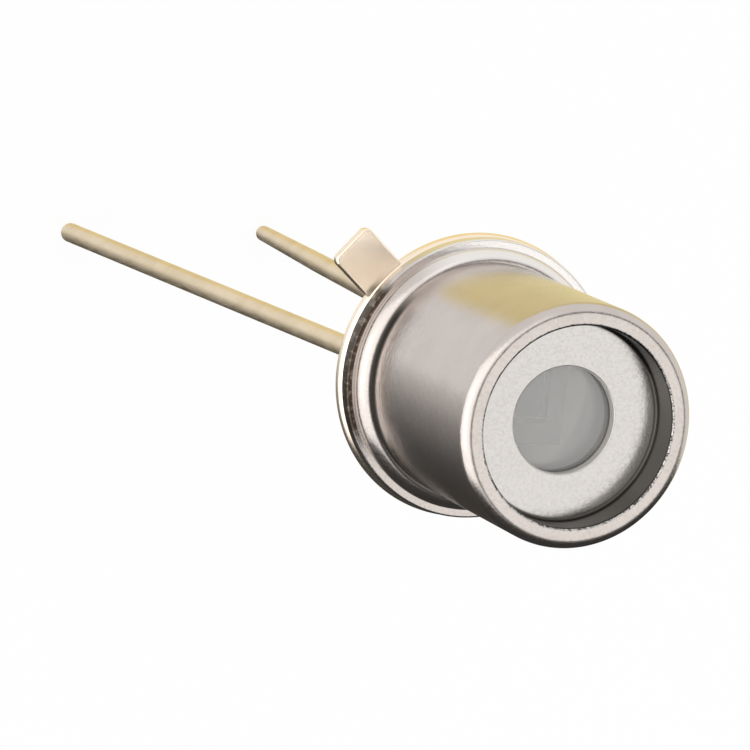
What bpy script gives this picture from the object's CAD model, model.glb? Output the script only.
# %% [markdown]
# # A photodiode in a small metal can
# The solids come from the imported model, in metres and in the part's own frame: the origin is on the
# seating plane, +Z points out of the window, and the leads hang down. This lesson spins finer meshes
# for the bright metal, gives every piece its finish, and sets up the picture.

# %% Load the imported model
import math

import bmesh
import bpy
from mathutils import Matrix, Vector


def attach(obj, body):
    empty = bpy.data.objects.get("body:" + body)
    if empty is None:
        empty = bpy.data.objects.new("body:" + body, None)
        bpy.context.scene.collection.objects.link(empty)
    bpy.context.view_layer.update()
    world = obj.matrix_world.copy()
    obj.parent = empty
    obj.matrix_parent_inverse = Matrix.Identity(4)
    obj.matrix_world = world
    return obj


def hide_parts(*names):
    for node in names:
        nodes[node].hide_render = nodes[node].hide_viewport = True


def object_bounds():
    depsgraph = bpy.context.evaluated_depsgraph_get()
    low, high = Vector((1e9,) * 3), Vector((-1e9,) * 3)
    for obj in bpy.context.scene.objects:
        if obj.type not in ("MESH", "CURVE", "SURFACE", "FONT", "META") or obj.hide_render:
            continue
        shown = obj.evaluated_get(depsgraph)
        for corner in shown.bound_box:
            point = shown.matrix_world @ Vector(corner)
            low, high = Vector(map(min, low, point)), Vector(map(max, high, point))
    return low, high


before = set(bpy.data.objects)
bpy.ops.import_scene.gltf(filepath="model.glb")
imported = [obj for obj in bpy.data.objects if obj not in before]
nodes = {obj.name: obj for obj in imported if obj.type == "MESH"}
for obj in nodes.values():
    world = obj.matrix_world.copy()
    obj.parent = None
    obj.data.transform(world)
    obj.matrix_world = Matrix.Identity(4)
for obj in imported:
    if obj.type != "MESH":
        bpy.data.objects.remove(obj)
cad_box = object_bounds()
MM = 0.001
print("nodes:", ", ".join(sorted(nodes)))
print("box in mm:", [[round(v / MM, 3) for v in corner] for corner in cad_box])

# %% [markdown]
# ## The camera
# The picture was taken from well in front, so that the rim shows as a nearly round ellipse. The camera
# could be placed by eye, but here its place was worked out from the ellipses of the flange, the rim and
# the aperture: a long lens, turned round its own axis until the leads point to the upper left.

# %% Place the camera
VIEW_AZIMUTH = math.radians(66.61)
VIEW_ELEVATION = math.radians(65.17)
VIEW_ROLL = math.radians(116.82)
VIEW_DISTANCE = 95.15 * MM
VIEW_AIM = Vector((1.636, 0.182, -0.680)) * MM
LENS = 240.0

back = Vector((math.sin(VIEW_AZIMUTH) * math.cos(VIEW_ELEVATION),
               -math.cos(VIEW_AZIMUTH) * math.cos(VIEW_ELEVATION),
               math.sin(VIEW_ELEVATION)))
bpy.ops.object.select_all(action="DESELECT")
bpy.ops.object.camera_add(location=VIEW_AIM + back * VIEW_DISTANCE)
camera = bpy.context.object
camera.rotation_euler = ((-back).to_track_quat("-Z", "Y").to_matrix()
                         @ Matrix.Rotation(VIEW_ROLL, 3, "Z")).to_euler()
camera.data.lens = LENS
camera.data.sensor_width = 36.0
camera.data.clip_start = 1 * MM
camera.data.clip_end = 2.0
bpy.context.scene.camera = camera
print("camera at", [round(v / MM, 1) for v in camera.location], "mm")

# %% [markdown]
# ## The floor and the sky
# A pale floor lies under the tips of the leads. To a camera, glossy or transmission ray it is nearly
# white by itself, and a share of plain diffuse white keeps the part's shadow on it. The metal doesn't
# mirror it, because the sheets further on do that job. The sky is white to the same rays, and dimmer as
# a lamp, so that it doesn't wash out the shadow.

# %% Tell the rays apart


def seen_directly(tree):
    """A value of 1 for camera, glossy and transmission rays, and 0 for the rest."""
    path = tree.nodes.new("ShaderNodeLightPath")
    total = path.outputs["Is Camera Ray"]
    for name in ("Is Glossy Ray", "Is Transmission Ray"):
        larger = tree.nodes.new("ShaderNodeMath")
        larger.operation = "MAXIMUM"
        tree.links.new(total, larger.inputs[0])
        tree.links.new(path.outputs[name], larger.inputs[1])
        total = larger.outputs[0]
    return total


def bare_material(name):
    """A material with nothing but its output."""
    material = bpy.data.materials.new(name)
    material.use_nodes = True
    material.node_tree.nodes.clear()
    return material, material.node_tree, material.node_tree.nodes.new("ShaderNodeOutputMaterial")


# %% Lay the floor
FLOOR_SIZE = 600 * MM
FLOOR_SHADOW = 0.08
FLOOR_Z = cad_box[0].z
PAPER_WHITE = (0.95, 0.95, 0.95, 1)

floor_white, tree, out = bare_material("floor_white")
mix = tree.nodes.new("ShaderNodeMixShader")
paper = tree.nodes.new("ShaderNodeBsdfDiffuse")
paper.inputs["Color"].default_value = PAPER_WHITE
glow = tree.nodes.new("ShaderNodeEmission")
glow.inputs["Strength"].default_value = 1.0
share = tree.nodes.new("ShaderNodeMath")
share.operation = "MULTIPLY"
share.inputs[1].default_value = 1 - FLOOR_SHADOW
tree.links.new(seen_directly(tree), share.inputs[0])
tree.links.new(share.outputs[0], mix.inputs[0])
tree.links.new(paper.outputs[0], mix.inputs[1])
tree.links.new(glow.outputs[0], mix.inputs[2])
tree.links.new(mix.outputs[0], out.inputs["Surface"])

bpy.ops.object.select_all(action="DESELECT")
bpy.ops.mesh.primitive_plane_add(size=FLOOR_SIZE, location=(0, 0, FLOOR_Z))
floor = bpy.context.object
floor.name = "floor"
floor.data.materials.append(floor_white)
floor.visible_glossy = False
print("floor at", round(FLOOR_Z / MM, 2), "mm")

# %% Set the sky
SKY_FILL = 0.9

sky_world = bpy.data.worlds.new("studio")
bpy.context.scene.world = sky_world
sky_world.use_nodes = True
tree = sky_world.node_tree
tree.nodes.clear()
out = tree.nodes.new("ShaderNodeOutputWorld")
sky = tree.nodes.new("ShaderNodeBackground")
sky.inputs["Color"].default_value = (1, 1, 1, 1)
level = tree.nodes.new("ShaderNodeMapRange")
level.inputs["To Min"].default_value = SKY_FILL
level.inputs["To Max"].default_value = 1.0
tree.links.new(seen_directly(tree), level.inputs["Value"])
tree.links.new(level.outputs[0], sky.inputs["Strength"])
tree.links.new(sky.outputs[0], out.inputs["Surface"])
bpy.context.scene.view_settings.view_transform = "Standard"
print("sky set, fill", SKY_FILL)

# %% [markdown]
# ## What the metal mirrors
# Bright plating shows its surroundings more than its own colour. In the photograph the can's wall
# mirrors gold at the top, a pale grey at the upper left and a dark room below, and a bright window at
# the left runs along its rim. Painted gradients on the can could fake that, but they would stay in place
# when the view turns. So sheets stand round the part that only its reflections see, as a photographer
# puts up cards.

# %% Hang the lamps
# name, place and size in millimetres, radiance
LAMPS = (
    ("key_lamp", (95, 5, 40), 80, 0.40),
    ("top_lamp", (-62, 25, 138), 110, 0.30),
    ("side_lamp", (15, -61, 136), 80, 0.30),
)


def softbox(name, place, size, radiance):
    """A square lamp of a given brightness that faces the part."""
    bpy.ops.object.select_all(action="DESELECT")
    bpy.ops.object.light_add(type="AREA", location=place)
    lamp = bpy.context.object
    lamp.name = name
    lamp.rotation_euler = (-place).to_track_quat("-Z", "Y").to_euler()
    lamp.data.size = size
    lamp.data.energy = radiance * math.pi * size * size


for name, place, size, radiance in LAMPS:
    softbox(name, Vector(place) * MM, size * MM, radiance)

# %% Lay the sheet of colours


def only_mirrored(sheet, material):
    """Shows a sheet to reflections alone."""
    sheet.data.materials.append(material)
    sheet.visible_camera = False
    sheet.visible_diffuse = False
    sheet.visible_transmission = False
    sheet.visible_shadow = False


def ring_of_colours(tree, stops):
    """Colours by the angle round the part's axis, in degrees from +X."""
    place = tree.nodes.new("ShaderNodeTexCoord")
    round_axis = tree.nodes.new("ShaderNodeTexGradient")
    round_axis.gradient_type = "RADIAL"
    ramp = tree.nodes.new("ShaderNodeValToRGB")
    tree.links.new(place.outputs["Object"], round_axis.inputs["Vector"])
    tree.links.new(round_axis.outputs["Fac"], ramp.inputs["Fac"])
    steps = ramp.color_ramp.elements
    while len(steps) < len(stops):
        steps.new(0.5)
    for step, (angle, colour) in zip(steps, stops):
        step.position = angle / 360 + 0.5
        step.color = (*colour, 1)
    return ramp.outputs["Color"]


def sheet_material(name):
    """A glowing material, with its tree, its glow and its output."""
    material, tree, out = bare_material(name)
    glow = tree.nodes.new("ShaderNodeEmission")
    tree.links.new(glow.outputs[0], out.inputs["Surface"])
    return material, tree, glow, out


def grey(level):
    """A slightly warm grey."""
    return (level, level * 0.985, level * 0.965)


GOLD_GLOW = (0.91, 0.79, 0.44)
PALE_GLOW = (0.97, 0.97, 0.97)
ROOM_DARK = (0.055, 0.050, 0.045)
SURROUNDINGS = (
    (-180, GOLD_GLOW), (-82, GOLD_GLOW), (-79, (0.96, 0.90, 0.70)), (-76, PALE_GLOW), (-9, PALE_GLOW),
    (3, grey(0.70)), (15, grey(0.51)), (27, grey(0.33)), (39, grey(0.24)), (51, grey(0.155)),
    (63, grey(0.10)), (76, grey(0.073)), (100, ROOM_DARK), (150, ROOM_DARK), (160, GOLD_GLOW),
)
SHEET_Z, SHEET_SIZE = -150 * MM, 700 * MM

surround, tree, glow, _ = sheet_material("surroundings")
tree.links.new(ring_of_colours(tree, SURROUNDINGS), glow.inputs["Color"])
bpy.ops.object.select_all(action="DESELECT")
bpy.ops.mesh.primitive_plane_add(size=SHEET_SIZE, location=(0, 0, SHEET_Z))
sheet = bpy.context.object
sheet.name = "surroundings_sheet"
only_mirrored(sheet, surround)
print("sheet with", len(SURROUNDINGS), "colours at", round(SHEET_Z / MM), "mm")

# %% Set up the cards
# name, then centre, width and height in millimetres, brightness
CARDS = (
    ("window_card", (140, 10, 70), 290, 340, 1.7),
    ("dark_card", (-34, 136, 10), 415, 330, 0.05),
)


def card(name, centre, width, height, level):
    """A card of one brightness that faces the part."""
    material, _, glow, _ = sheet_material(name)
    glow.inputs["Color"].default_value = (level, level, level, 1)
    bpy.ops.object.select_all(action="DESELECT")
    bpy.ops.mesh.primitive_plane_add(size=1, location=centre)
    piece = bpy.context.object
    piece.name = name
    piece.scale = (width, height, 1)
    piece.rotation_euler = (-centre).to_track_quat("Z", "Y").to_euler()
    only_mirrored(piece, material)
    print(name, "at", [round(v / MM) for v in centre], "mm")


for name, centre, width, height, level in CARDS:
    card(name, Vector(centre) * MM, width * MM, height * MM, level)

# %% [markdown]
# The tab's gold would show as an orange patch low on the wall, and the photograph has a pale one there. A
# small card lies over the tab. It glows on its upper side alone, so the wall mirrors the card, and the
# tab still mirrors the lamps through it.

# %% Lay a card over the tab
TAB_ANGLE = math.radians(-42)
TAB_CARD_SIDE = 1.3 * MM
TAB_CARD_OUT, TAB_CARD_Z = 3.38 * MM, 0.3 * MM

tab_way = Vector((math.cos(TAB_ANGLE), math.sin(TAB_ANGLE), 0))
tab_card_place = tab_way * TAB_CARD_OUT + Vector((0, 0, TAB_CARD_Z))
over_tab, tree, glow, out = sheet_material("tab_cover")
glow.inputs["Color"].default_value = (*PALE_GLOW, 1)
side = tree.nodes.new("ShaderNodeNewGeometry")
clear = tree.nodes.new("ShaderNodeBsdfTransparent")
mix = tree.nodes.new("ShaderNodeMixShader")
tree.links.new(side.outputs["Backfacing"], mix.inputs[0])
tree.links.new(glow.outputs[0], mix.inputs[1])
tree.links.new(clear.outputs[0], mix.inputs[2])
tree.links.new(mix.outputs[0], out.inputs["Surface"])
bpy.ops.object.select_all(action="DESELECT")
bpy.ops.mesh.primitive_plane_add(size=TAB_CARD_SIDE, location=tab_card_place)
tab_cover = bpy.context.object
tab_cover.name = "tab_card"
tab_cover.rotation_euler = (0, 0, TAB_ANGLE)
only_mirrored(tab_cover, over_tab)
print("tab card at", [round(v / MM, 2) for v in tab_cover.location], "mm")

# %% [markdown]
# The level faces of rim, plate and flange mirror the top lamp: they send the camera's look back up on the
# other side of the axis. A dark ring round that lamp gives it an edge, so that a face which turns slightly
# away goes darker and the roundings stand out.

# %% Hang the dark ring round the top lamp
RING_FAR = 150 * MM
RING_INNER, RING_OUTER = 42 * MM, 84 * MM
RING_LEVEL = 0.25

mirrored_way = Vector((-back.x, -back.y, back.z))
lamp_edge, _, glow, _ = sheet_material("lamp_edge")
glow.inputs["Color"].default_value = (*grey(RING_LEVEL), 1)
bpy.ops.object.select_all(action="DESELECT")
bpy.ops.mesh.primitive_circle_add(vertices=64, radius=RING_OUTER, fill_type="NGON",
                                  location=mirrored_way * RING_FAR)
lamp_ring = bpy.context.object
lamp_ring.name = "lamp_edge_card"
lamp_ring.rotation_euler = (-mirrored_way).to_track_quat("Z", "Y").to_euler()
bpy.ops.object.mode_set(mode="EDIT")
bpy.ops.mesh.select_all(action="SELECT")
bpy.ops.mesh.inset(thickness=RING_OUTER - RING_INNER, depth=0)
bpy.ops.mesh.delete(type="FACE")
bpy.ops.object.mode_set(mode="OBJECT")
only_mirrored(lamp_ring, lamp_edge)
print("ring from", round(RING_INNER / MM), "to", round(RING_OUTER / MM), "mm")

# %% [markdown]
# ## Tools for turned pieces
# The cap and the header are round, so each is a profile that is spun once round the axis. The profile is
# a ring of points at the corners of the section. Every corner is then rounded by a vertex bevel, which on
# a right angle gives a true quarter circle. The work is done in millimetres, where Blender's merging
# distances are small beside the shapes, and is brought to metres at the end.

# %% Select by place


def pick(piece, kind, test):
    """In edit mode, selects the vertices, edges or faces of which every point passes a test."""
    bpy.ops.mesh.select_mode(type=kind)
    bpy.ops.mesh.select_all(action="DESELECT")
    mesh = bmesh.from_edit_mesh(piece.data)
    parts = {"VERT": mesh.verts, "EDGE": mesh.edges, "FACE": mesh.faces}[kind]
    for part in parts:
        points = [part.co] if kind == "VERT" else [v.co for v in part.verts]
        if all(test(point) for point in points):
            part.select_set(True)
    bmesh.update_edit_mesh(piece.data)


def edit(piece):
    """Goes into edit mode on one piece."""
    bpy.ops.object.select_all(action="DESELECT")
    piece.select_set(True)
    bpy.context.view_layer.objects.active = piece
    bpy.ops.object.mode_set(mode="EDIT")


# %% Spin a profile
SPIN_STEPS = 256


def spun(name, corners, steps=SPIN_STEPS):
    """A ring or disc from the (radius, height, rounding) corners of its section, in millimetres."""
    bpy.ops.object.select_all(action="DESELECT")
    bpy.ops.mesh.primitive_circle_add(vertices=len(corners), radius=1)
    piece = bpy.context.object
    piece.name = name
    for vertex, (radius, height, _) in zip(piece.data.vertices, corners):
        vertex.co = (radius, 0, height)
    edit(piece)
    for radius, height, rounding in corners:
        if rounding:
            corner = Vector((radius, 0, height))
            pick(piece, "VERT", lambda co: (co - corner).length < 1e-4)
            bpy.ops.mesh.bevel(offset_type="OFFSET", offset=rounding, affect="VERTICES",
                               segments=max(4, round(8 + 20 * rounding)), profile=0.5)
    bpy.ops.mesh.select_all(action="SELECT")
    bpy.ops.mesh.spin(steps=steps, angle=2 * math.pi, center=(0, 0, 0), axis=(0, 0, 1))
    bpy.ops.mesh.select_all(action="SELECT")
    bpy.ops.mesh.remove_doubles(threshold=1e-5)
    bpy.ops.mesh.normals_make_consistent(inside=False)
    bpy.ops.object.mode_set(mode="OBJECT")
    return piece


# %% Bring a piece to metres and tie it to the part


def seat(piece, slot, *stands_for, angle=30):
    """Scales a piece from millimetres, smooths its curves and lets it ride with the part."""
    bpy.ops.object.select_all(action="DESELECT")
    piece.select_set(True)
    bpy.context.view_layer.objects.active = piece
    piece.scale = (MM, MM, MM)
    bpy.ops.object.transform_apply(location=True, rotation=True, scale=True)
    bpy.ops.object.shade_smooth_by_angle(angle=math.radians(angle))
    bpy.ops.object.modifier_add(type="WEIGHTED_NORMAL")
    piece.modifiers[-1].keep_sharp = True
    bpy.ops.object.modifier_apply(modifier=piece.modifiers[-1].name)
    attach(piece, "root")
    if stands_for:
        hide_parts(*stands_for)
    print(piece.name, len(piece.data.vertices), "points,",
          [round(v / MM, 2) for v in piece.dimensions], "mm")


# %% [markdown]
# ## The cap
# The can is pressed from one nickel-plated sheet. The sheet rises from the weld flange over a rounded
# shoulder, folds over at the rim, comes back down inside and turns in to the plate with the aperture. Its
# section is one closed line of fourteen corners, so it is one spun profile. The shoulder could be a ring
# of its own, but on the real can it is the same sheet, so it is one more corner of the line.

# %% Spin the cap
FLANGE_T = 0.25
CAN_R, BORE_R = 2.28, 2.10
RIM_Z, FOLD_Z = 5.10, 4.92
RECESS_R, CUP_R = 1.87, 2.05
PLATE_Z, PLATE_UNDER = 4.44, 4.26
APERTURE_R = 1.0
WELD_R, WELD_Z = 2.69, 0.50
SHOULDER_R, SHOULDER_Z = 2.53, 0.75

cap = spun("drawn_cap", (
    (APERTURE_R, PLATE_Z, 0.03), (RECESS_R, PLATE_Z, 0.06), (RECESS_R, RIM_Z, 0.05), (CAN_R, RIM_Z, 0.20),
    (CAN_R, SHOULDER_Z, 0), (SHOULDER_R, SHOULDER_Z, 0.249), (SHOULDER_R, WELD_Z, 0),
    (WELD_R, WELD_Z, 0.04), (WELD_R, FLANGE_T, 0), (BORE_R, FLANGE_T, 0.43),
    (BORE_R, FOLD_Z, 0), (CUP_R, FOLD_Z, 0), (CUP_R, PLATE_UNDER, 0.34), (APERTURE_R, PLATE_UNDER, 0)))
seat(cap, "nickel_plating", "cap")

# %% [markdown]
# ## The header
# The gold-plated base is drawn from one sheet too: a flange, a wall and a platform, with the tab that
# marks the anode. The shell is spun, and the tab is a block whose outer corners and long edges are
# bevelled, because a punched edge is never sharp. A boolean joins them, and another drills the hole for
# the anode lead.

# %% Spin the shell
HEADER_R, PLATFORM_R, CAVITY_R = 2.74, 1.94, 1.69
PLATFORM_Z, CAVITY_Z = 1.10, 0.85

header = spun("header_shell", (
    (0, PLATFORM_Z, 0), (PLATFORM_R, PLATFORM_Z, 0.15), (PLATFORM_R, FLANGE_T, 0.08),
    (HEADER_R, FLANGE_T, 0.16), (HEADER_R, 0, 0.06), (CAVITY_R, 0, 0.25), (CAVITY_R, CAVITY_Z, 0.05),
    (0, CAVITY_Z, 0)))
print("shell spun:", len(header.data.vertices), "points")

# %% Shape the tab
TAB_W, TAB_REACH, TAB_CORNER, TAB_EDGE = 0.92, 0.96, 0.15, 0.05
TAB_ROOT = 2.1
TAB_T, TAB_LIFT = 0.19, 0.002

tab_end = HEADER_R + TAB_REACH
bpy.ops.object.select_all(action="DESELECT")
bpy.ops.mesh.primitive_cube_add(size=1)
tab = bpy.context.object
tab.name = "tab"
tab.scale = (tab_end - TAB_ROOT, TAB_W, TAB_T)
tab.location = ((tab_end + TAB_ROOT) / 2, 0, TAB_LIFT + TAB_T / 2)
bpy.ops.object.transform_apply(location=True, rotation=True, scale=True)
edit(tab)
pick(tab, "EDGE", lambda co: co.x > tab_end - 1e-4)
upright = bmesh.from_edit_mesh(tab.data)
for edge in upright.edges:
    edge.select_set(edge.select and abs(edge.verts[0].co.z - edge.verts[1].co.z) > TAB_T / 2)
bmesh.update_edit_mesh(tab.data)
bpy.ops.mesh.bevel(offset=TAB_CORNER, offset_type="OFFSET", segments=10, affect="EDGES")
for level in (TAB_LIFT, TAB_LIFT + TAB_T):
    pick(tab, "EDGE", lambda co: abs(co.z - level) < 1e-4)
    around = bmesh.from_edit_mesh(tab.data)
    for edge in around.edges:
        at_root = all(v.co.x < TAB_ROOT + 1e-4 for v in edge.verts)
        edge.select_set(edge.select and not at_root)
    bmesh.update_edit_mesh(tab.data)
    bpy.ops.mesh.bevel(offset=TAB_EDGE, offset_type="OFFSET", segments=5, affect="EDGES")
bpy.ops.object.mode_set(mode="OBJECT")
tab.rotation_euler = (0, 0, TAB_ANGLE)
bpy.ops.object.transform_apply(location=True, rotation=True, scale=True)
print("tab:", [round(v, 2) for v in tab.dimensions], "mm")

# %% Join the tab and drill the hole
LEAD_X = 1.27
SEAL_HOLE_R = 0.35
DRILL_L, DRILL_Z = 0.6, PLATFORM_Z - 0.1


def carve(piece, tool, operation):
    """Applies a boolean with a tool and takes the tool away."""
    bpy.ops.object.select_all(action="DESELECT")
    piece.select_set(True)
    bpy.context.view_layer.objects.active = piece
    bpy.ops.object.modifier_add(type="BOOLEAN")
    modifier = piece.modifiers[-1]
    modifier.operation = operation
    modifier.solver = "EXACT"
    modifier.object = tool
    bpy.ops.object.modifier_apply(modifier=modifier.name)
    bpy.data.objects.remove(tool)


carve(header, tab, "UNION")
bpy.ops.object.select_all(action="DESELECT")
bpy.ops.mesh.primitive_cylinder_add(vertices=64, radius=SEAL_HOLE_R, depth=DRILL_L,
                                    location=(LEAD_X, 0, DRILL_Z))
drill = bpy.context.object
bpy.ops.object.transform_apply(location=True, rotation=True, scale=True)
carve(header, drill, "DIFFERENCE")
seat(header, "gold_plating", "header")

# %% [markdown]
# ## The leads
# The leads are gold-plated wire. Each starts as a disc at its upper end, is extruded down through the
# glass, spun through a slight bend, and extruded along its lean. The case lead narrows towards its tip,
# which is a resize after the last extrusion, and the tips are rounded by a bevel. Blender's spin turns
# clockwise about its axis, so the bend's axis points the way that turns the wire down and aside.

# %% Draw the leads
LEAD_R, LEAD_EXIT, LEAD_BEND, LEAD_L, TIP_R = 0.205, 0.5, 2.0, 14.45, 0.14
POST_H, POST_EDGE = 0.28, 0.04
ANODE_LEAN, ANODE_HEADING = 8.1, -7.5
CATHODE_LEAN, CATHODE_HEADING = 1.6, -83
CATHODE_TAPER, CATHODE_TIP = 3.5, 0.33 / 0.41


def lead(name, x, top, top_edge, lean, heading, taper, tip_scale):
    """A lead from its top, through its bend, to its tip."""
    lean, heading = math.radians(lean), math.radians(heading)
    aside = Vector((math.cos(heading), math.sin(heading), 0))
    along = aside * math.sin(lean) - Vector((0, 0, math.cos(lean)))
    run = (LEAD_L - LEAD_EXIT - LEAD_BEND * math.sin(lean)) / math.cos(lean)
    bend_start = Vector((x, 0, -LEAD_EXIT))
    run_start = bend_start + aside * LEAD_BEND * (1 - math.cos(lean)) \
        - Vector((0, 0, LEAD_BEND * math.sin(lean)))
    bpy.ops.object.select_all(action="DESELECT")
    bpy.ops.mesh.primitive_circle_add(vertices=48, radius=LEAD_R, fill_type="NGON", location=(x, 0, top))
    piece = bpy.context.object
    piece.name = name
    bpy.ops.object.transform_apply(location=True, rotation=True, scale=True)
    edit(piece)
    bpy.ops.mesh.select_mode(type="FACE")
    bpy.ops.mesh.select_all(action="SELECT")
    bpy.ops.mesh.extrude_region_move(TRANSFORM_OT_translate={"value": (0, 0, -LEAD_EXIT - top)})
    bpy.ops.mesh.spin(steps=8, angle=lean, center=bend_start + aside * LEAD_BEND,
                      axis=Vector((0, 0, 1)).cross(aside))
    bpy.ops.mesh.extrude_region_move(TRANSFORM_OT_translate={"value": along * (run - taper)})
    if taper:
        bpy.ops.mesh.extrude_region_move(TRANSFORM_OT_translate={"value": along * taper})
        bpy.ops.transform.resize(value=(tip_scale,) * 3, center_override=run_start + along * run)
    bpy.ops.mesh.region_to_loop()
    bpy.ops.mesh.bevel(offset=TIP_R, offset_type="OFFSET", segments=6, affect="EDGES")
    if top_edge:
        pick(piece, "EDGE", lambda co: co.z > top - 1e-4)
        bpy.ops.mesh.bevel(offset=top_edge, offset_type="OFFSET", segments=4, affect="EDGES")
    bpy.ops.mesh.select_all(action="SELECT")
    bpy.ops.mesh.normals_make_consistent(inside=False)
    bpy.ops.object.mode_set(mode="OBJECT")
    return piece


anode = lead("anode_wire_lead", LEAD_X, PLATFORM_Z + POST_H, POST_EDGE,
             ANODE_LEAN, ANODE_HEADING, taper=0, tip_scale=1)
seat(anode, "gold_plating", "anode_lead")
cathode = lead("cathode_wire_lead", -LEAD_X, CAVITY_Z, 0,
               CATHODE_LEAN, CATHODE_HEADING, CATHODE_TAPER, CATHODE_TIP)
seat(cathode, "gold_plating", "cathode_lead")

# %% [markdown]
# ## The chip's contact
# A square ring of gold on the chip's face collects its current, and the bond wire starts on it. It is a
# plane whose face is inset, opened in the middle and given a small thickness.

# %% Make the contact ring
SOLDER_T, CARRIER_T, CHIP_T = 0.03, 0.25, 0.25
CARRIER_GAP, CARRIER_HALF = 0.19, 1.0
CHIP_X = LEAD_X - SEAL_HOLE_R - CARRIER_GAP - CARRIER_HALF
CARRIER_TOP = PLATFORM_Z + SOLDER_T + CARRIER_T
CHIP_TOP = CARRIER_TOP + SOLDER_T + CHIP_T
RING_SIDE, RING_W, RING_T = 0.90, 0.05, 0.006

bpy.ops.object.select_all(action="DESELECT")
bpy.ops.mesh.primitive_plane_add(size=RING_SIDE, location=(CHIP_X, 0, CHIP_TOP))
ring = bpy.context.object
ring.name = "chip_contact"
bpy.ops.object.transform_apply(location=True, rotation=True, scale=True)
edit(ring)
bpy.ops.mesh.select_all(action="SELECT")
bpy.ops.mesh.inset(thickness=RING_W, depth=0)
bpy.ops.mesh.delete(type="FACE")
bpy.ops.mesh.select_all(action="SELECT")
bpy.ops.mesh.extrude_region_move(TRANSFORM_OT_translate={"value": (0, 0, RING_T)})
bpy.ops.mesh.select_all(action="SELECT")
bpy.ops.mesh.normals_make_consistent(inside=False)
bpy.ops.object.mode_set(mode="OBJECT")
seat(ring, "gold_plating")

# %% [markdown]
# ## Tools for finishes
# Every finish is a Principled shader whose colour, roughness and fine relief come from noise on the
# object's own coordinates. Noise that is squeezed along one axis gives streaks, as rolling, drawing and
# tumbling leave them.

# %% Small node builders


def finish(name):
    """A new material with its tree, its shader and the place of each point in metres."""
    material = bpy.data.materials.new(name)
    material.use_nodes = True
    tree = material.node_tree
    shader = tree.nodes["Principled BSDF"]
    return material, tree, shader, tree.nodes.new("ShaderNodeTexCoord").outputs["Object"]


def join(tree, socket, value):
    """Links a socket to another one, or sets it to a number."""
    if isinstance(value, bpy.types.NodeSocket):
        tree.links.new(value, socket)
    else:
        socket.default_value = value


def grain(tree, place, per_mm, detail=3.0):
    """Noise with so many waves to a millimetre along x, y and z."""
    squeeze = tree.nodes.new("ShaderNodeMapping")
    squeeze.inputs["Scale"].default_value = [count / MM for count in per_mm]
    noise = tree.nodes.new("ShaderNodeTexNoise")
    noise.inputs["Scale"].default_value = 1.0
    noise.inputs["Detail"].default_value = detail
    tree.links.new(place, squeeze.inputs["Vector"])
    tree.links.new(squeeze.outputs[0], noise.inputs["Vector"])
    return noise.outputs["Fac"]


def span(tree, value, source, target=(0.0, 1.0)):
    """Maps one range of a value to another, and holds it at the ends."""
    node = tree.nodes.new("ShaderNodeMapRange")
    node.interpolation_type = "SMOOTHSTEP"
    tree.links.new(value, node.inputs["Value"])
    for name, number in zip(("From Min", "From Max", "To Min", "To Max"), (*source, *target)):
        node.inputs[name].default_value = number
    return node.outputs[0]


def sums(tree, operation, first, second):
    """One step of arithmetic on two values."""
    node = tree.nodes.new("ShaderNodeMath")
    node.operation = operation
    join(tree, node.inputs[0], first)
    join(tree, node.inputs[1], second)
    return node.outputs[0]


def blended(tree, share, first, second):
    """A colour between two colours."""
    node = tree.nodes.new("ShaderNodeMix")
    node.data_type = "RGBA"
    tree.links.new(share, node.inputs[0])
    for socket, colour in ((node.inputs[6], first), (node.inputs[7], second)):
        join(tree, socket, colour if isinstance(colour, bpy.types.NodeSocket) else (*colour, 1))
    return node.outputs[2]


def relief(tree, shader, height, depth_mm):
    """Fine relief of a given depth."""
    bump = tree.nodes.new("ShaderNodeBump")
    bump.inputs["Strength"].default_value = 1.0
    bump.inputs["Distance"].default_value = depth_mm * MM
    tree.links.new(height, bump.inputs["Height"])
    tree.links.new(bump.outputs[0], shader.inputs["Normal"])


def radius_and_height(tree, place):
    """Distance from the part's axis, and height above the seating plane."""
    flat = tree.nodes.new("ShaderNodeVectorMath")
    flat.operation = "MULTIPLY"
    flat.inputs[1].default_value = (1, 1, 0)
    length = tree.nodes.new("ShaderNodeVectorMath")
    length.operation = "LENGTH"
    split = tree.nodes.new("ShaderNodeSeparateXYZ")
    tree.links.new(place, flat.inputs[0])
    tree.links.new(flat.outputs[0], length.inputs[0])
    tree.links.new(place, split.inputs[0])
    return length.outputs["Value"], split.outputs["Z"]


def dress(piece, material):
    """Gives a piece one material."""
    piece.data.materials.clear()
    piece.data.materials.append(material)
    print(piece.name, "wears", material.name)


# %% [markdown]
# ## Satin nickel
# The cap was tumbled and plated, so it has a satin skin with fine dashes that run round the can. A few
# places differ. The weld flange was pressed by the electrode, which left it matt and on one side lighter,
# and on the other the pulse of current left a brown burn with lighter flecks. The wall of the recess and
# the crease at the foot of the can are out of reach of the polishing media, so they are dark. The
# aperture's edge was punched, and shows as a light, matt line.

# %% Choose the nickel's colours
NICKEL = (0.60, 0.545, 0.51)
NICKEL_DULL = (0.57, 0.515, 0.48)
PLATE_NICKEL = (0.60, 0.573, 0.548)
PRESSED_NICKEL = (0.82, 0.785, 0.755)
BURN_BROWN = (0.075, 0.058, 0.046)
BURN_FLECK = (0.22, 0.185, 0.155)
RECESS_OXIDE = (0.075, 0.070, 0.062)
FOOT_DARK = (0.13, 0.12, 0.11)
PUNCHED_EDGE = (0.75, 0.72, 0.68)
print("nickel:", NICKEL, "to", NICKEL_DULL)

# %% Mark places on the can


def round_the_axis(tree, place):
    """The angle round the part's axis, from 0 at -180 degrees to 1 at 180."""
    angle = tree.nodes.new("ShaderNodeTexGradient")
    angle.gradient_type = "RADIAL"
    tree.links.new(place, angle.inputs["Vector"])
    return angle.outputs["Fac"]


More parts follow.
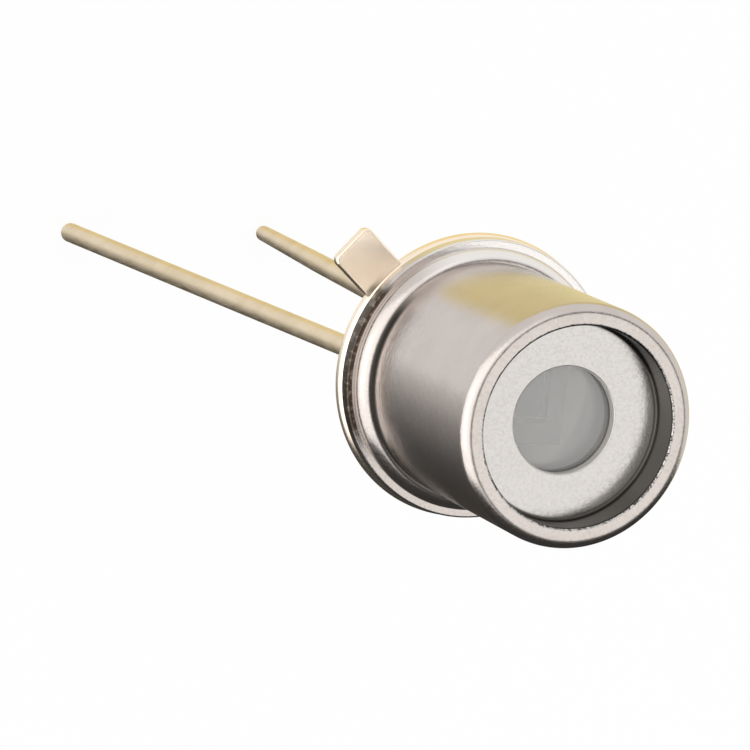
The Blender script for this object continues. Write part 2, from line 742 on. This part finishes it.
def between(tree, value, rise, fall):
    """A mask that rises over one range of a value and falls over another."""
    return sums(tree, "MULTIPLY", span(tree, value, rise), span(tree, value, (fall[1], fall[0])))


def mm(*values):
    """Millimetres as metres."""
    return tuple(value * MM for value in values)


def turns(*degrees):
    """Angles from +X as shares of the turn that round_the_axis gives."""
    return tuple(0.5 + value / 360 for value in degrees)


# %% Say where the finishes lie
WALL_FACE = mm(CAN_R - 0.018, CAN_R - 0.005)
WALL_START = mm(SHOULDER_Z + 0.05, SHOULDER_Z + 0.25)
INSIDE = mm(RECESS_R + 0.06, RECESS_R + 0.04)
RECESS_SIDE = mm(RECESS_R - 0.095, RECESS_R - 0.035), mm(RECESS_R + 0.045, RECESS_R + 0.065)
RECESS_RISE = mm(PLATE_Z - 0.06, PLATE_Z - 0.04), mm(RIM_Z - 0.015, RIM_Z)
RECESS_RAGGED = 0.08 * MM
PUNCHED = mm(APERTURE_R + 0.02, APERTURE_R + 0.005)
CREASE_SIDE = WALL_FACE, mm(CAN_R + 0.04, CAN_R + 0.09)
CREASE_RISE = mm(SHOULDER_Z - 0.09, SHOULDER_Z - 0.05), mm(SHOULDER_Z + 0.11, SHOULDER_Z + 0.23)
CREASE_ARC = turns(-52, -30), turns(95, 110)
PRESSED_SIDE = mm(CAN_R + 0.02, CAN_R + 0.12)
PRESSED_ARC = turns(-170, -140), turns(-75, -45)
BURN_SIDE = mm(SHOULDER_R + 0.045, SHOULDER_R + 0.07)
BURN_ARC = turns(-45, -36), turns(20, 38)
print("recess dark from", round(RECESS_R - 0.035, 3), "mm, burn from", round(SHOULDER_R + 0.07, 3), "mm")

# %% Make the nickel
WALL_POLISH, PRESS_POLISH = (0.10, 0.17), (0.17, 0.27)
EDGE_METAL = 0.15
FAINT_SPECKS = 0.35
NICKEL_RELIEF = 0.005


def scorched(tree, place, plating, mask):
    """A plating with the brown of the weld's burn where a mask says so."""
    flecks = span(tree, grain(tree, place, (9, 9, 4)), (0.48, 0.68))
    return blended(tree, mask, plating, blended(tree, flecks, BURN_BROWN, BURN_FLECK))


def satin_nickel():
    """Nickel with the marks that the can's making left on it."""
    material, tree, shader, place = finish("satin_nickel")
    radius, height = radius_and_height(tree, place)
    angle = round_the_axis(tree, place)
    outside = sums(tree, "MULTIPLY", span(tree, radius, WALL_FACE), span(tree, height, WALL_START))
    inside = span(tree, radius, INSIDE)
    clouds = grain(tree, place, (1.4, 1.4, 1.4))
    plating = blended(tree, span(tree, clouds, (0.35, 0.7)), NICKEL, NICKEL_DULL)
    plating = blended(tree, inside, plating, PLATE_NICKEL)
    specks = grain(tree, place, (24, 24, 24))
    unevenness = sums(tree, "MULTIPLY", sums(tree, "SUBTRACT", specks, 0.5), RECESS_RAGGED)
    ragged = sums(tree, "ADD", height, unevenness)
    recess = sums(tree, "MULTIPLY", between(tree, radius, *RECESS_SIDE),
                  between(tree, ragged, *RECESS_RISE))
    plating = blended(tree, recess, plating, RECESS_OXIDE)
    punched = span(tree, radius, PUNCHED)
    plating = blended(tree, punched, plating, PUNCHED_EDGE)
    crease = sums(tree, "MULTIPLY", between(tree, radius, *CREASE_SIDE),
                  between(tree, height, *CREASE_RISE))
    crease = sums(tree, "MULTIPLY", crease, between(tree, angle, *CREASE_ARC))
    plating = blended(tree, crease, plating, FOOT_DARK)
    pressed = sums(tree, "MULTIPLY", between(tree, angle, *PRESSED_ARC),
                   span(tree, radius, PRESSED_SIDE))
    plating = blended(tree, pressed, plating, PRESSED_NICKEL)
    burn = sums(tree, "MULTIPLY", between(tree, angle, *BURN_ARC), span(tree, radius, BURN_SIDE))
    tree.links.new(scorched(tree, place, plating, burn), shader.inputs["Base Color"])
    tree.links.new(span(tree, punched, (0.0, 1.0), (1.0, EDGE_METAL)), shader.inputs["Metallic"])
    dashes = grain(tree, place, (6, 6, 26))
    rubbed = span(tree, dashes, (0.3, 0.7), WALL_POLISH)
    blasted = span(tree, specks, (0.3, 0.7), PRESS_POLISH)
    polish = sums(tree, "ADD", sums(tree, "MULTIPLY", rubbed, outside),
                  sums(tree, "MULTIPLY", blasted, sums(tree, "SUBTRACT", 1.0, outside)))
    tree.links.new(polish, shader.inputs["Roughness"])
    faint = span(tree, outside, (0.0, 1.0), (FAINT_SPECKS, 0.0))
    marks = sums(tree, "ADD", sums(tree, "MULTIPLY", dashes, outside),
                 sums(tree, "MULTIPLY", specks, faint))
    relief(tree, shader, marks, NICKEL_RELIEF)
    return material


dress(cap, satin_nickel())

# %% [markdown]
# ## Satin gold
# Header and leads carry a thin, pale gold plating. It is a little warmer and duller where it was rubbed,
# and the wire has drawing marks along its length. The header's platform, where the heat of sealing and
# soldering dulled the plating, is greyer.

# %% Make the gold
PLATFORM_GOLD = (0.56, 0.51, 0.44)
PLATFORM_RISE = mm(PLATFORM_Z - 0.2, PLATFORM_Z - 0.05)
GOLD_RELIEF = 0.0005


def satin_gold(name, bright, dull, per_mm, roughness, is_header=False):
    """Thin gold plating, with marks of so many waves to a millimetre."""
    material, tree, shader, place = finish(name)
    clouds = grain(tree, place, (1.8, 1.8, 1.8))
    marks = grain(tree, place, per_mm)
    plating = blended(tree, span(tree, clouds, (0.35, 0.7)), bright, dull)
    if is_header:
        _, height = radius_and_height(tree, place)
        plating = blended(tree, span(tree, height, PLATFORM_RISE), plating, PLATFORM_GOLD)
    tree.links.new(plating, shader.inputs["Base Color"])
    shader.inputs["Metallic"].default_value = 1.0
    tree.links.new(span(tree, marks, (0.3, 0.7), roughness), shader.inputs["Roughness"])
    relief(tree, shader, marks, GOLD_RELIEF)
    return material


dress(header, satin_gold("header_gold", (0.97, 0.84, 0.68), (0.94, 0.80, 0.63), (5, 5, 5), (0.21, 0.25),
                         is_header=True))
wire_gold = satin_gold("wire_gold", (0.82, 0.70, 0.52), (0.75, 0.63, 0.44), (18, 18, 2), (0.38, 0.50))
for piece in (anode, cathode, ring, nodes["anode_wire"], nodes["cathode_wire"]):
    dress(piece, wire_gold)

# %% [markdown]
# ## Glass
# The window has a coating that mirrors part of the visible light, so it looks grey and hides most of what
# lies below. A high index of refraction gives both faces that sheen. The glass that fills the header is
# dark and fused, and the glass solder round the window is a dull grey.

# %% Make the glasses


def window_coated():
    """Clear glass with a coating that mirrors part of the light."""
    material, tree, shader, place = finish("coated_window")
    haze = grain(tree, place, (1.5, 1.5, 1.5))
    shader.inputs["Base Color"].default_value = (0.88, 0.87, 0.84, 1)
    shader.inputs["Transmission Weight"].default_value = 0.78
    shader.inputs["IOR"].default_value = 1.95
    tree.links.new(span(tree, haze, (0.3, 0.7), (0.02, 0.07)), shader.inputs["Roughness"])
    return material


def fused_glass(name, deep, pale, roughness):
    """Glass that was melted in place, with paler clouds."""
    material, tree, shader, place = finish(name)
    clouds = grain(tree, place, (2.2, 2.2, 2.2))
    tree.links.new(blended(tree, span(tree, clouds, (0.35, 0.7)), deep, pale), shader.inputs["Base Color"])
    tree.links.new(span(tree, clouds, (0.3, 0.7), roughness), shader.inputs["Roughness"])
    shader.inputs["IOR"].default_value = 1.52
    return material


dress(nodes["window"], window_coated())
glass_solder = fused_glass("glass_solder", (0.10, 0.105, 0.105), (0.17, 0.18, 0.175), (0.3, 0.5))
dress(nodes["window_seal"], glass_solder)
dark_glass = fused_glass("dark_fused_glass", (0.020, 0.034, 0.034), (0.045, 0.065, 0.062), (0.08, 0.2))
dress(nodes["glass_seal"], dark_glass)

# %% [markdown]
# ## Inside the can
# The carrier is pale ceramic with a metal film on its face, the solder is a dull tin alloy, and the chip
# is polished semiconductor with a coated face that mirrors about a third of the light.

# %% Make the finishes inside


def carrier_ceramic():
    """Ceramic with a metal film on its upper face."""
    material, tree, shader, place = finish("metallised_ceramic")
    _, height = radius_and_height(tree, place)
    film = span(tree, height, mm(CARRIER_TOP - 0.012, CARRIER_TOP - 0.004))
    clouds = grain(tree, place, (3, 3, 3))
    ceramic = blended(tree, clouds, (0.74, 0.71, 0.65), (0.83, 0.81, 0.76))
    metal = blended(tree, clouds, (0.92, 0.87, 0.77), (0.96, 0.91, 0.81))
    tree.links.new(blended(tree, film, ceramic, metal), shader.inputs["Base Color"])
    tree.links.new(sums(tree, "MULTIPLY", film, 0.05), shader.inputs["Metallic"])
    tree.links.new(span(tree, clouds, (0.3, 0.7), (0.32, 0.46)), shader.inputs["Roughness"])
    return material


def chip_face():
    """Polished semiconductor under a coating."""
    material, tree, shader, place = finish("chip_face")
    clouds = grain(tree, place, (2.5, 2.5, 2.5))
    coating = blended(tree, clouds, (0.27, 0.28, 0.30), (0.33, 0.33, 0.34))
    tree.links.new(coating, shader.inputs["Base Color"])
    shader.inputs["Metallic"].default_value = 0.9
    tree.links.new(span(tree, clouds, (0.3, 0.7), (0.12, 0.20)), shader.inputs["Roughness"])
    return material


def dull_solder():
    """Solder that has set with a dull skin."""
    material, tree, shader, place = finish("dull_solder")
    clouds = grain(tree, place, (9, 9, 9))
    alloy = blended(tree, clouds, (0.46, 0.45, 0.43), (0.60, 0.58, 0.55))
    tree.links.new(alloy, shader.inputs["Base Color"])
    shader.inputs["Metallic"].default_value = 1.0
    tree.links.new(span(tree, clouds, (0.3, 0.7), (0.35, 0.5)), shader.inputs["Roughness"])
    return material


dress(nodes["carrier"], carrier_ceramic())
dress(nodes["chip"], chip_face())
solder = dull_solder()
dress(nodes["carrier_solder"], solder)
dress(nodes["chip_solder"], solder)
